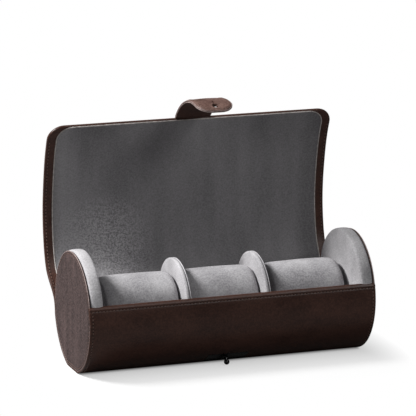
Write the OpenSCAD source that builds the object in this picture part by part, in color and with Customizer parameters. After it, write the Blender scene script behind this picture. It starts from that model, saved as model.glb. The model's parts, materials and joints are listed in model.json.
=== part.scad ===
// Travel case for three watches: a leather roll with two suede end discs, a flexible lid
// that grows out of its back, and a tab that buttons onto a ball stud under its front.
// X runs along the roll, Y to its back and Z up. The origin is on the table, under the axis.

/* [Case] */
// Length of the roll over its two ends
case_len = 233; // [200:1:260]
// Outer radius of the roll
case_r = 47.5; // [44:0.5:52]
// How far the roll's underside is pressed flat
base_drop = 1.6; // [1.2:0.1:2.4]
// Front edge of the body, in degrees above the axis
front_edge_deg = 16; // [8:1:24]
// Back edge of the body, in degrees below the axis
back_edge_deg = 6; // [2:1:12]
// Thickness of the leather round the body
leather_t = 1.3; // [0.9:0.1:1.8]
// Thickness of the body's stiffening board
board_t = 1.1; // [0.8:0.1:1.6]
// Thickness of the suede that lines the body
lining_t = 0.7; // [0.5:0.1:1]

/* [End discs] */
// Thickness of the leather on an end
end_leather_t = 1.7; // [1:0.1:2.5]
// Thickness of the wooden disc in an end
end_core_t = 9.2; // [6:0.1:12]
// Thickness of the suede round an end disc
end_suede_t = 0.8; // [0.5:0.1:1.2]

/* [Dividers] */
// How much longer each side bay is than the bay between the dividers
side_room = 9.55; // [8:0.05:20]
// Thickness of a covered divider
divider_t = 4.5; // [3.5:0.1:6]
// Radius of a divider's round top
divider_r = 35.5; // [31:0.5:38]
// Thickness of the suede round a divider
divider_suede_t = 0.6; // [0.4:0.1:0.9]

/* [Pillows] */
// Gap between the middle pillow and each divider
pillow_gap = 0.5; // [0.3:0.1:2]
// Gap between the left pillow and its divider
left_pillow_gap = 1.3; // [0.5:0.1:8]
// Gap between the right pillow and its divider
right_pillow_gap = 7.1; // [0.5:0.1:8]
// Radius of a pillow's round top and foot
pillow_r = 26; // [22:0.5:28]
// Padding between a pillow's suede and the foam block in it
pillow_pad = 3; // [2:0.5:5]
// How far a pillow's ends are drawn in
pillow_draw = 3.2; // [1:0.1:5]
// How far a pillow's end swells out
pillow_bulge = 0.4; // [0.1:0.1:0.5]
// Radius of the flat in the middle of a pillow's end
pillow_flat_r = 10.4; // [6:0.2:16]

/* [Lid] */
// How far the lid stands out past each end of the roll
lid_overhang = 1.5; // [0.5:0.1:4]
// Thickness of the lid's leather
lid_leather_t = 1.2; // [0.9:0.1:1.6]
// Thickness of the lid's stiffening board
lid_board_t = 0.9; // [0.6:0.1:1.2]
// Thickness of the suede that lines the lid
lid_lining_t = 0.6; // [0.4:0.1:0.9]
// How far the closed lid's curve is centred above the roll's axis
lid_rise = 2; // [1:0.1:3]
// How far the closed lid laps over the body's front edge
lid_lap = 3; // [1:0.5:6]
// Width of the leather turned in at each side of the lid
lid_border = 8; // [5:0.5:12]
// Radius of the lid's two free corners
lid_corner_r = 13; // [8:0.5:18]
// Radius of the lining's two free corners
lining_corner_r = 18; // [10:0.5:20]

/* [Tab] */
// Width of the tab
tab_w = 29; // [22:0.5:34]
// Thickness of the tab's outer leather
tab_leather_t = 1.1; // [0.8:0.1:1.3]
// Thickness of the tab's inner leather
tab_lining_t = 1; // [0.7:0.1:1.2]
// Radius of the corners of the tab's tip
tab_corner_r = 11; // [6:0.5:11]
// Distance from the stud to the tab's tip
tab_end = 7; // [6:0.5:8]
// Radius of the fold that the tab turns on
tab_fold_r = 0.9; // [0.6:0.1:1]
// Radius of the button hole
hole_r = 2.9; // [2.7:0.1:3.4]
// Length of the slit above the button hole
slit_len = 5; // [3:0.5:8]
// Width of the slit
slit_w = 1.2; // [0.8:0.1:1.6]

/* [Stud] */
// Place of the stud, in degrees below the axis at the front
stud_deg = 57; // [45:0.5:57]
// Radius of the stud's ball
stud_ball_r = 2.2; // [2:0.1:2.5]
// Radius of the stud's neck
stud_neck_r = 1.5; // [1.2:0.1:1.7]
// Gap between the tab's outer leather and the widest part of the ball
stud_reach = 1.3; // [1.2:0.1:3]
// Width of the metal plate along the roll
plate_w = 33; // [20:0.5:40]
// Length of the metal plate round the roll
plate_len = 15; // [12:0.5:16]
// Thickness of the metal plate
plate_t = 0.8; // [0.6:0.1:1]
// How far the plate stands out of the leather
plate_proud = 0.3; // [0.1:0.1:0.4]
// Radius of the nut inside
nut_r = 3.5; // [3:0.1:5]
// Height of the nut inside
nut_h = 1.4; // [1:0.1:2.5]

/* [Clearances] */
// Gap between pieces that move past each other
run_gap = 0.35; // [0.3:0.05:0.5]
// Gap between the end discs and the closed lid
lid_gap = 0.6; // [0.5:0.05:1]
// Gap that a pillow stands off the lining it rests on
seat_gap = 0.3; // [0.2:0.05:0.4]
// Gap round the stud where it passes through the wall
shank_gap = 0.05; // [0.02:0.01:0.1]
// Gap between the lid's board and the suede bonded to it
bond_gap = 0.03; // [0.02:0.01:0.05]
// Half the gap between neighbouring panels of the lid
panel_gap = 0.15; // [0.1:0.05:0.3]
// Gap on each side of the tab's fold
fold_gap = 0.3; // [0.2:0.05:0.4]

/* [Hidden] */
PANELS = 6;
$fn = 96;

LEATHER = "#3a2722";
END_LEATHER = "#5b4a48";
SUEDE = "#8c8b8d";
PALE_SUEDE = "#c5c4c6";
LID_SUEDE = "#4a4849";
BOARD = "#b9a284";
WOOD = "#c8a878";
FOAM = "#e6dfc8";
BLACK_METAL = "#17181a";

// Height of the roll's axis above the table
axis_z = case_r - base_drop;
// Whole thickness of the body's wall, and the radius inside it
wall_t = leather_t + board_t + lining_t;
inner_r = case_r - wall_t;
// Angles of the body's edges round the axis, from the back and over the top
front_a = 180 - front_edge_deg;
back_a = -back_edge_deg;
// Thickness of a covered end disc, and the clear length between the two
end_t = end_leather_t + end_core_t + end_suede_t;
clear_len = case_len - 2 * end_t;

// The bay between the dividers, and what stands in the three bays
bay_len = (clear_len - 2 * side_room - 2 * divider_t) / 3;
divider_x = (bay_len + divider_t) / 2;
pillow_len = bay_len - 2 * pillow_gap;
left_pillow_x = divider_x + (divider_t + pillow_len) / 2 + left_pillow_gap;
right_pillow_x = divider_x + (divider_t + pillow_len) / 2 + right_pillow_gap;

// How far a shape that only cuts runs past what it cuts, and a length past any piece
past = 3;
far = 2.5 * case_r;

// The closed lid is an arc of a circle through the body's back edge and its own free edge
lid_t = lid_leather_t + lid_board_t + lid_lining_t;
free_a = front_a + lid_lap / case_r * 180 / PI;
free_r = case_r + run_gap + lid_t;
back_p = case_r * [cos(back_a), sin(back_a)];
free_p = free_r * [cos(free_a), sin(free_a)];
lid_cy = (free_p * free_p - back_p * back_p - 2 * lid_rise * (free_p.y - back_p.y))
  / (2 * (free_p.x - back_p.x));
lid_c = [lid_cy, lid_rise];
lid_r = norm(back_p - lid_c);
lid_w = case_len + 2 * lid_overhang;
lid_board_w = lid_w - 2 * lid_leather_t;
lid_lining_w = lid_w - 2 * lid_border;
// Angle that each of the lid's six panels spans, and the straight length of one
lid_start_a = atan2(back_p.y - lid_c.y, back_p.x - lid_c.x);
lid_end_a = atan2(free_p.y - lid_c.y, free_p.x - lid_c.x);
panel_a = (lid_end_a - lid_start_a) / PANELS;
panel_len = 2 * lid_r * sin(panel_a / 2);
// How each panel of the open lid leans, in degrees from the table at the back
panel_lean = [54, 70, 86, 97, 104, 114];
// The gap between panels and the run of a cutting shape, as angles
panel_gap_a = panel_gap / lid_r * 180 / PI;
past_a = past / lid_r * 180 / PI;

// The tab curves round the body when it is buttoned
tab_t = tab_leather_t + tab_lining_t;
tab_in_r = case_r + plate_proud + run_gap;
tab_mid_r = tab_in_r + tab_t / 2;
// The tab turns on a fold just past the lid's free edge
fold_room = tab_fold_r + fold_gap;
fold_a = free_a + fold_room / tab_mid_r * 180 / PI;
tab_start_a = fold_a + fold_room / tab_mid_r * 180 / PI;
stud_a = 180 + stud_deg;
tip_a = stud_a + tab_end / tab_mid_r * 180 / PI;

// How far from the axis the nut's rim meets the lining
nut_seat = sqrt(inner_r * inner_r - nut_r * nut_r);

// The room above the lining that a pillow stands in
pillow_foot = seat_gap + wall_t - axis_z;
ring_n = 36;

// ---- Outlines in the plane across the roll: x is the case's Y and y its Z, from the axis ----

// A slice of a plane between two angles, wide enough to cut any ring
module wedge(from_a, to_a) {
  steps = max(2, ceil((to_a - from_a) / 30));
  polygon(concat([[0, 0]], [
    for (k = [0 : steps]) let (a = from_a + (to_a - from_a) * k / steps) far * [cos(a), sin(a)]
  ]));
}

// The roll's outline, set in by a layer's depth and flat underneath
module roll_outline(depth) {
  intersection() {
    circle(r = case_r - depth);
    translate([-case_r, depth - axis_z]) square([2 * case_r, axis_z - depth + case_r]);
  }
}

// One layer of the body's wall
module wall_layer(depth, t) {
  intersection() {
    difference() {
      roll_outline(depth);
      roll_outline(depth + t);
    }
    wedge(front_a, 360 + back_a);
  }
}

// An end disc: as wide as the leather allows below, and just clear of the lid above
module disc_outline(inset) {
  intersection() {
    roll_outline(leather_t + inset);
    wedge(front_a, 360 + back_a);
  }
  intersection() {
    translate(lid_c) circle(r = lid_r - lid_t - lid_gap - inset);
    wedge(back_a, front_a);
  }
}

// A divider: a round top on a foot that stands on the lining
module divider_outline(inset) {
  intersection() {
    roll_outline(wall_t);
    union() {
      circle(r = divider_r - inset);
      translate([inset - divider_r, -case_r]) square([2 * (divider_r - inset), case_r]);
    }
  }
}

// A ring's sector about the origin
module ring_sector(inner, outer, from_a, to_a) {
  intersection() {
    difference() {
      circle(r = outer);
      circle(r = inner);
    }
    wedge(from_a, to_a);
  }
}

// ---- Placing ----

// Stretches an outline along the roll, from x_from to x_to
module along(x_from, x_to) {
  translate([x_from, 0, axis_z]) rotate([90, 0, 90]) linear_extrude(x_to - x_from) children();
}

// The lower corner of an open panel, on the lid's outer face
function panel_foot(i) =
  i == 0 ? back_p : panel_foot(i - 1) + panel_len * [cos(panel_lean[i - 1]), sin(panel_lean[i - 1])];

// The angle that carries a closed panel to where it leans when the lid is open
function panel_turn(i) = panel_lean[i] - (lid_start_a + (i + 0.5) * panel_a + 90);

// The lower corner of a closed panel
function closed_foot(i) =
  lid_c + lid_r * [cos(lid_start_a + i * panel_a), sin(lid_start_a + i * panel_a)];

// Carries pieces drawn on the closed case with panel i to the open lid
module open_with(i) {
  foot = panel_foot(i);
  closed = closed_foot(i);
  translate([0, foot.x, foot.y + axis_z]) rotate([panel_turn(i), 0, 0])
    translate([0, -closed.x, -closed.y - axis_z]) children();
}

// Turns z away from the roll at one angle, with y along the leather towards its free edge
module facing(angle) {
  translate([0, 0, axis_z]) rotate([angle - 90, 0, 0]) rotate([0, 0, 180]) children();
}

module radial_prism(angle) {
  facing(angle) linear_extrude(far) children();
}

// A rectangle standing on y = 0 with its two far corners rounded
module round_topped(w, h, r) {
  translate([-w / 2, 0]) square([w, h - r]);
  translate([r - w / 2, 0]) square([w - 2 * r, h]);
  for (side = [-1, 1]) translate([side * (w / 2 - r), h - r]) circle(r = r);
}

// ---- Body ----

module body_leather() {
  color(LEATHER) difference() {
    along(-case_len / 2, case_len / 2) wall_layer(0, leather_t);
    plate_solid();
    stud_way();
  }
}

module body_board() {
  color(BOARD) difference() {
    along(-clear_len / 2, clear_len / 2) wall_layer(leather_t, board_t);
    stud_way();
  }
}

module body_lining() {
  color(SUEDE) difference() {
    along(-clear_len / 2, clear_len / 2) wall_layer(leather_t + board_t, lining_t);
    stud_way();
  }
}

// ---- End discs, drawn at the right and mirrored for the left ----

module end_core() {
  core_x = clear_len / 2 + end_suede_t;
  color(WOOD) along(core_x, core_x + end_core_t) disc_outline(end_suede_t);
}

module end_suede() {
  color(PALE_SUEDE) difference() {
    along(clear_len / 2, case_len / 2 - end_leather_t) disc_outline(0);
    along(clear_len / 2 + end_suede_t, case_len / 2) disc_outline(end_suede_t);
  }
}

module end_leather() {
  color(END_LEATHER) along(case_len / 2 - end_leather_t, case_len / 2) disc_outline(0);
}

// ---- Dividers, drawn about x = 0 ----

module divider_board() {
  half = divider_t / 2 - divider_suede_t;
  color(BOARD) along(-half, half) divider_outline(divider_suede_t);
}

module divider_suede() {
  half = divider_t / 2;
  color(PALE_SUEDE) difference() {
    along(-half, half) divider_outline(0);
    along(divider_suede_t - half, half - divider_suede_t) divider_core_way();
  }
}

// The board's outline carried on through the foot, so the cover is open below
module divider_core_way() {
  circle(r = divider_r - divider_suede_t);
  translate([divider_suede_t - divider_r, -case_r])
    square([2 * (divider_r - divider_suede_t), case_r]);
}

// ---- Stud ----

// Puts a piece that stands up in z at the stud's place, with z = 0 on the roll's axis
module at_stud() {
  facing(stud_a) children();
}

module stud_way() {
  at_stud() cylinder(r = stud_neck_r + shank_gap, h = far);
}

module plate_solid() {
  half_a = plate_len / case_r / 2 * 180 / PI;
  along(-plate_w / 2, plate_w / 2)
    ring_sector(case_r + plate_proud - plate_t, case_r + plate_proud, stud_a - half_a, stud_a + half_a);
}

module stud_plate() {
  color(BLACK_METAL) difference() {
    plate_solid();
    stud_way();
  }
}

module stud() {
  ball_z = tab_in_r + tab_t + stud_reach;
  color(BLACK_METAL) at_stud() union() {
    translate([0, 0, nut_seat - nut_h]) cylinder(r = stud_neck_r, h = ball_z - nut_seat + nut_h);
    translate([0, 0, ball_z]) sphere(r = stud_ball_r);
  }
}

module stud_nut() {
  color(BLACK_METAL) at_stud() translate([0, 0, nut_seat - nut_h]) difference() {
    cylinder(r = nut_r, h = nut_h);
    cylinder(r = stud_neck_r + shank_gap, h = 3 * nut_h, center = true);
  }
}

// ---- Lid ----

// One layer of panel i between two depths under the lid's outer face
module panel_layer(i, depth, t, w) {
  from_a = lid_start_a + i * panel_a + panel_gap_a;
  to_a = lid_start_a + (i + 1) * panel_a - panel_gap_a;
  translate([0, lid_c.x, lid_c.y]) along(-w / 2, w / 2)
    ring_sector(lid_r - depth - t, lid_r - depth, from_a, to_a);
}

// Cuts the free panel's two far corners round
module free_corners(i, w, r) {
  if (i == PANELS - 1) {
    intersection() {
      children();
      translate([0, lid_c.x, lid_c.y]) radial_prism(lid_start_a + (i + 0.5) * panel_a)
        translate([0, -panel_len]) round_topped(w, panel_len + panel_len / 2, r);
    }
  } else {
    children();
  }
}

// A layer that runs past the panel's ends, to cut with
module panel_pocket(i, depth, t, w) {
  from_a = lid_start_a + i * panel_a - past_a;
  to_a = lid_start_a + (i + 1) * panel_a + past_a;
  translate([0, lid_c.x, lid_c.y]) along(-w / 2, w / 2)
    ring_sector(lid_r - depth - t, lid_r - depth, from_a, to_a);
}

module lid_leather(i) {
  color(LEATHER) open_with(i) free_corners(i, lid_w, lid_corner_r) difference() {
    panel_layer(i, 0, lid_t, lid_w);
    free_corners(i, lid_board_w, lid_corner_r - lid_leather_t)
      panel_pocket(i, lid_leather_t, lid_board_t, lid_board_w);
    free_corners(i, lid_lining_w, lining_corner_r)
      panel_pocket(i, lid_leather_t + lid_board_t, 2 * lid_lining_t, lid_lining_w);
  }
}

module lid_board(i) {
  color(BOARD) open_with(i) free_corners(i, lid_board_w, lid_corner_r - lid_leather_t)
    panel_layer(i, lid_leather_t, lid_board_t - bond_gap, lid_board_w);
}

module lid_lining(i) {
  color(LID_SUEDE) open_with(i) free_corners(i, lid_lining_w, lining_corner_r)
    panel_layer(i, lid_leather_t + lid_board_t, lid_lining_t, lid_lining_w);
}

// ---- Tab, drawn on the buttoned case and carried open with the last panel ----

module tab_layer(depth, t) {
  open_with(PANELS - 1) difference() {
    along(-tab_w / 2, tab_w / 2)
      ring_sector(tab_in_r + depth, tab_in_r + depth + t, tab_start_a, tip_a + past_a);
    radial_prism(stud_a) past_tip();
    at_stud() cylinder(r = hole_r, h = far);
    at_stud() translate([-slit_w / 2, -hole_r - slit_len, 0])
      cube([slit_w, hole_r + slit_len, far]);
  }
}

// What is cut off the tab to leave its rounded tip
module past_tip() {
  tip_y = tab_mid_r * sin(tip_a - stud_a);
  difference() {
    translate([-tab_w / 2 - past, tip_y - tab_corner_r])
      square([tab_w + 2 * past, tab_corner_r + 3 * past]);
    translate([0, tip_y - far]) round_topped(tab_w, far, tab_corner_r);
  }
}

module tab_leather() {
  color(LEATHER) tab_layer(tab_lining_t, tab_leather_t);
}

module tab_lining() {
  color(END_LEATHER) tab_layer(0, tab_lining_t);
}

module tab_fold() {
  color(LEATHER) open_with(PANELS - 1)
    translate([-tab_w / 2, tab_mid_r * cos(fold_a), axis_z + tab_mid_r * sin(fold_a)])
      rotate([0, 90, 0]) cylinder(r = tab_fold_r, h = tab_w);
}

// ---- Pillows, drawn about x = 0 ----

// A pillow's outline: half circles of radius r at the axis and at the foot
function pillow_ring(inset) = [
  for (k = [0 : ring_n - 1]) let (
    a = (k + 0.5) * 360 / ring_n,
    centre = a > 180 ? pillow_foot + pillow_r : 0
  ) [(pillow_r - inset) * cos(a), centre + (pillow_r - inset) * sin(a)]
];

// Places along half a pillow, as shares of it, and how far the outline is drawn in at each:
// the ends' edges are round and the middle is crowned
pillow_side = [
  [1, pillow_draw], [0.985, 0.5 * pillow_draw], [0.95, 0.24 * pillow_draw],
  [0.85, 0.1 * pillow_draw], [0.5, 0.02 * pillow_draw]
];
pillow_half = pillow_len / 2 - pillow_bulge;
pillow_stations = concat(
  [[-pillow_len / 2, pillow_r - pillow_flat_r]],
  [for (s = pillow_side) [-s[0] * pillow_half, s[1]]],
  [[0, 0]],
  [for (k = [len(pillow_side) - 1 : -1 : 0]) [pillow_side[k][0] * pillow_half, pillow_side[k][1]]],
  [[pillow_len / 2, pillow_r - pillow_flat_r]]
);

module pillow_solid() {
  count = len(pillow_stations);
  points = [
    for (s = pillow_stations) for (p = pillow_ring(s[1])) [s[0], p.x, p.y + axis_z]
  ];
  sides = [
    for (s = [0 : count - 2]) for (k = [0 : ring_n - 1]) let (
      a = s * ring_n + k,
      b = s * ring_n + (k + 1) % ring_n
    ) each [[a, b, b + ring_n], [a, b + ring_n, a + ring_n]]
  ];
  near = [for (k = [ring_n - 1 : -1 : 0]) k];
  far = [for (k = [0 : ring_n - 1]) (count - 1) * ring_n + k];
  polyhedron(points, concat(sides, [near, far]));
}

// The foam block, and the pocket for it that opens under the pillow
module foam_solid(drop) {
  r = pillow_r - pillow_pad;
  half = pillow_len / 2 - pillow_pad;
  along(-half, half) {
    circle(r = r);
    translate([-r, pillow_foot - drop]) square([2 * r, -pillow_foot + drop]);
  }
}

module pillow_cover() {
  color(SUEDE) difference() {
    pillow_solid();
    foam_solid(past);
  }
}

module pillow_foam() {
  color(FOAM) intersection() {
    pillow_solid();
    foam_solid(0);
  }
}

// ---- The nodes ----

body_leather();
body_board();
body_lining();
mirror([1, 0, 0]) end_core();  // left_end_core
mirror([1, 0, 0]) end_suede();  // left_end_suede
mirror([1, 0, 0]) end_leather();  // left_end_leather
end_core();  // right_end_core
end_suede();  // right_end_suede
end_leather();  // right_end_leather
translate([-divider_x, 0, 0]) divider_board();  // left_divider_board
translate([-divider_x, 0, 0]) divider_suede();  // left_divider_suede
translate([divider_x, 0, 0]) divider_board();  // right_divider_board
translate([divider_x, 0, 0]) divider_suede();  // right_divider_suede
stud_plate();
stud();
stud_nut();
for (i = [0 : PANELS - 1]) {
  lid_leather(i);
  lid_board(i);
  lid_lining(i);
}
tab_fold();
tab_leather();
tab_lining();
translate([-left_pillow_x, 0, 0]) pillow_cover();  // left_pillow_cover
translate([-left_pillow_x, 0, 0]) pillow_foam();  // left_pillow_foam
pillow_cover();  // middle_pillow_cover
pillow_foam();  // middle_pillow_foam
translate([right_pillow_x, 0, 0]) pillow_cover();  // right_pillow_cover
translate([right_pillow_x, 0, 0]) pillow_foam();  // right_pillow_foam
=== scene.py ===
import json
import math

import bpy
import numpy as np
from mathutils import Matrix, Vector, noise


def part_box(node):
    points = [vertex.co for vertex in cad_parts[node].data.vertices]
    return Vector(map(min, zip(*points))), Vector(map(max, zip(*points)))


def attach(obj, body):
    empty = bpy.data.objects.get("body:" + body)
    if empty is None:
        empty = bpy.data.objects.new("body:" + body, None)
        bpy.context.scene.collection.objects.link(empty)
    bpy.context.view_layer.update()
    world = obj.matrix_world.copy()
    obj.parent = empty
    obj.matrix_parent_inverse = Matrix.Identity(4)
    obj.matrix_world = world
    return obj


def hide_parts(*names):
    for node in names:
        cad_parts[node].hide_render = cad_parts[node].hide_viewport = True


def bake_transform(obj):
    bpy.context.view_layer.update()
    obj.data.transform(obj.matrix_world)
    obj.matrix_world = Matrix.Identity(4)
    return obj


# ---- A travel case for three watches: a leather roll with a flexible lid and a buttoned tab ----
# X runs along the roll, Y to its back and Z up, in metres, as in the frame.

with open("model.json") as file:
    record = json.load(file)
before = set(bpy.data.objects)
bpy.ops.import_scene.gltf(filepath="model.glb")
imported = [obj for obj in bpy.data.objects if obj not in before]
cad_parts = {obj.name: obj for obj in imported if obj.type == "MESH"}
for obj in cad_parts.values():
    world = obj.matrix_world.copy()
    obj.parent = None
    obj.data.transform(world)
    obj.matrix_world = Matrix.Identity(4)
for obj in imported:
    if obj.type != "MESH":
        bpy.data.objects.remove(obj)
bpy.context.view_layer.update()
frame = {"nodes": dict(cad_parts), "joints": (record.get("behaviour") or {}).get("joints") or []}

MM = 0.001
joints = {joint["name"]: joint for joint in frame["joints"]}


def joint_point(name):
    """A joint's place in the plane across the roll, as (Y, Z)."""
    return np.array(joints[name]["pos_m"][1:])


# ---- Sizes, from the frame where it has them ----

case_low, case_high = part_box("body_leather")
CASE_R = -case_low.y
CASE_HALF = case_high.x
AXIS_Z = joint_point("lid_hinge")[1] + math.sqrt(CASE_R**2 - joint_point("lid_hinge")[0] ** 2)
AXIS = np.array([0, AXIS_Z])
LEATHER_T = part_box("body_board")[0].z
FRONT_EDGE_A = math.radians(164)
BACK_EDGE_A = math.radians(-6)
# The body's wall is the leather, the board and the lining
WALL_T = 3.1 * MM
INNER_R = CASE_R - WALL_T

PANELS = 6
hinge_names = ["lid_hinge"] + [f"lid_bend_{i}" for i in range(2, PANELS + 1)]
feet = [joint_point(name) for name in hinge_names]
PANEL_LEN = float(np.linalg.norm(feet[1] - feet[0]))
# How the last strip leans, and how the leather itself runs out at the free edge
LAST_LEAN = math.radians(114)
EDGE_LEAN = math.radians(117)
FREE_EDGE = feet[-1] + PANEL_LEN * np.array([math.cos(LAST_LEAN), math.sin(LAST_LEAN)])
closings = [-math.radians(joints[name]["range_deg"][0]) for name in hinge_names]

LID_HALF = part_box("lid_leather_1")[1].x
# The lid is its leather, its board and its lining
LID_T = 2.7 * MM
LID_BORDER = LID_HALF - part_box("lid_lining_1")[1].x
LID_CORNER_R = 13 * MM
LINING_CORNER_R = 12 * MM

# The roll's axis, carried with the last panel as the lid opens: the tab curves round it
tab_axis = AXIS.copy()
for foot, closing in zip(feet, closings):
    turn = np.array([[math.cos(closing), math.sin(closing)], [-math.sin(closing), math.cos(closing)]])
    tab_axis = foot + turn @ (tab_axis - foot)
FOLD = joint_point("tab_swing")
TAB_R = float(np.linalg.norm(FOLD - tab_axis))
TAB_START_A = math.atan2(*(FOLD - tab_axis)[::-1])


# ---- Small helpers ----


def colour(code):
    """An sRGB hex colour as the linear values that a shader takes."""
    parts = [int(code[i : i + 2], 16) / 255 for i in (1, 3, 5)]
    return [p / 12.92 if p <= 0.04045 else ((p + 0.055) / 1.055) ** 2.4 for p in parts] + [1]


def add(tree, kind, settings=None, **links):
    """Adds one shader node, with its settings and with what feeds its sockets."""
    node = tree.nodes.new(kind)
    for key, value in (settings or {}).items():
        if isinstance(key, str) and hasattr(node, key):
            setattr(node, key, value)
        else:
            node.inputs[key].default_value = value
    for socket, source in links.items():
        tree.links.new(source, node.inputs[socket.replace("_", " ")])
    return node


SHARP = math.radians(50)


def new_mesh(name, points, faces, material):
    """A mesh object from points and faces, smooth shaded up to a sharp corner."""
    mesh = bpy.data.meshes.new(name)
    mesh.from_pydata([tuple(p) for p in points], [], [tuple(f) for f in faces])
    mesh.validate()
    mesh.update()
    piece = bpy.data.objects.new(name, mesh)
    bpy.context.scene.collection.objects.link(piece)
    mesh.materials.append(material)
    for polygon in mesh.polygons:
        polygon.use_smooth = True
    mesh.set_sharp_from_angle(angle=SHARP)
    return piece


def at(x, yz):
    """A point of the frame from x and a place in the plane across the roll."""
    return (x, yz[0], yz[1])


def smooth(share):
    """Eases a share between 0 and 1 in and out."""
    return share * share * (3 - 2 * share)


def loft(count, sides):
    """Faces of a closed form made of count rings of points, with a flat cap at each end."""
    faces = []
    for j in range(count - 1):
        for k in range(sides):
            a, b = j * sides + k, j * sides + (k + 1) % sides
            faces.append((a, b, b + sides, a + sides))
    faces.append(tuple(range(sides))[::-1])
    faces.append(tuple((count - 1) * sides + k for k in range(sides)))
    return faces


# ---- A smooth line in the plane across the roll ----


class Line:
    """A curve through points in (Y, Z), clamped to a direction at each end, by chord length."""

    def __init__(self, points, start_lean, end_lean, start_at):
        self.points = np.array(points)
        steps = np.linalg.norm(np.diff(self.points, axis=0), axis=1)
        self.at = start_at + np.concatenate([[0], np.cumsum(steps)])
        count = len(points)
        system = np.zeros((count, count))
        target = np.zeros((count, 2))
        system[0, 0] = system[-1, -1] = 1
        target[0] = [math.cos(start_lean), math.sin(start_lean)]
        target[-1] = [math.cos(end_lean), math.sin(end_lean)]
        for i in range(1, count - 1):
            before, after = steps[i - 1], steps[i]
            system[i, i - 1 : i + 2] = [after, 2 * (before + after), before]
            rise_before = (self.points[i] - self.points[i - 1]) / before
            rise_after = (self.points[i + 1] - self.points[i]) / after
            target[i] = 3 * (after * rise_before + before * rise_after)
        self.slope = np.linalg.solve(system, target)

    def place(self, s):
        """The point at s, and the unit normal to its left."""
        i = int(np.clip(np.searchsorted(self.at, s) - 1, 0, len(self.at) - 2))
        h = self.at[i + 1] - self.at[i]
        t = (s - self.at[i]) / h
        a, b = self.points[i], self.points[i + 1]
        ma, mb = self.slope[i] * h, self.slope[i + 1] * h
        point = (
            (2 * t**3 - 3 * t**2 + 1) * a
            + (t**3 - 2 * t**2 + t) * ma
            + (3 * t**2 - 2 * t**3) * b
            + (t**3 - t**2) * mb
        )
        along = (6 * t**2 - 6 * t) * (a - b) + (3 * t**2 - 4 * t + 1) * ma + (3 * t**2 - 2 * t) * mb
        along = along / np.linalg.norm(along)
        return point, np.array([-along[1], along[0]])


TAPER_LEN = 30 * MM


def lid_taper(s):
    """How much narrower than its free end the lid is at s: it grows out of the body's width."""
    share = float(np.clip(s / TAPER_LEN, 0, 1))
    return (LID_HALF - CASE_HALF) * (1 - smooth(share))


def no_taper(s):
    """The taper of a slab that is as wide all along."""
    return 0.0


class Arc:
    """A circle's arc, with s along it at radius r and the normal pointing to its centre."""

    def __init__(self, centre, r, start_a):
        self.centre, self.r, self.start_a = centre, r, start_a

    def place(self, s):
        a = self.start_a + s / self.r
        out = np.array([math.cos(a), math.sin(a)])
        return self.centre + self.r * out, -out


# The lid's first section takes over from the body's leather this far below the back edge
ROOT = -6 * MM
root_a = BACK_EDGE_A + ROOT / CASE_R
root_point = AXIS + CASE_R * np.array([math.cos(root_a), math.sin(root_a)])
lid_line = Line([root_point] + feet + [FREE_EDGE], root_a + math.pi / 2, EDGE_LEAN, ROOT)
LID_END = float(lid_line.at[-1])


# ---- A slab that follows a line, with rounded edges and rounded far corners ----


EDGE_STEPS = 4
ROW_STEP = 2 * MM
# Rows in a rounded corner: where it is the slab's end, and where a section only passes into it
END_CORNER_ROWS, PASSED_CORNER_ROWS = 15, 4


def edge_steps(t, r):
    """Depth and inset of each step round a slab's edge, from its outer face to its inner one."""
    steps = []
    for k in range(EDGE_STEPS + 1):
        a = math.pi / 2 * k / EDGE_STEPS
        steps.append((r * (1 - math.cos(a)), r * (1 - math.sin(a))))
    return steps + [(t - depth, inset) for depth, inset in reversed(steps)]


def corner_angles(end, corner_r, s_from, s_to):
    """Where a stretch of a slab starts and stops in its rounded corner, as angles."""
    corner = end - corner_r
    return [math.asin(np.clip((max(s, corner) - corner) / corner_r, 0, 1)) for s in (s_from, s_to)]


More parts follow.
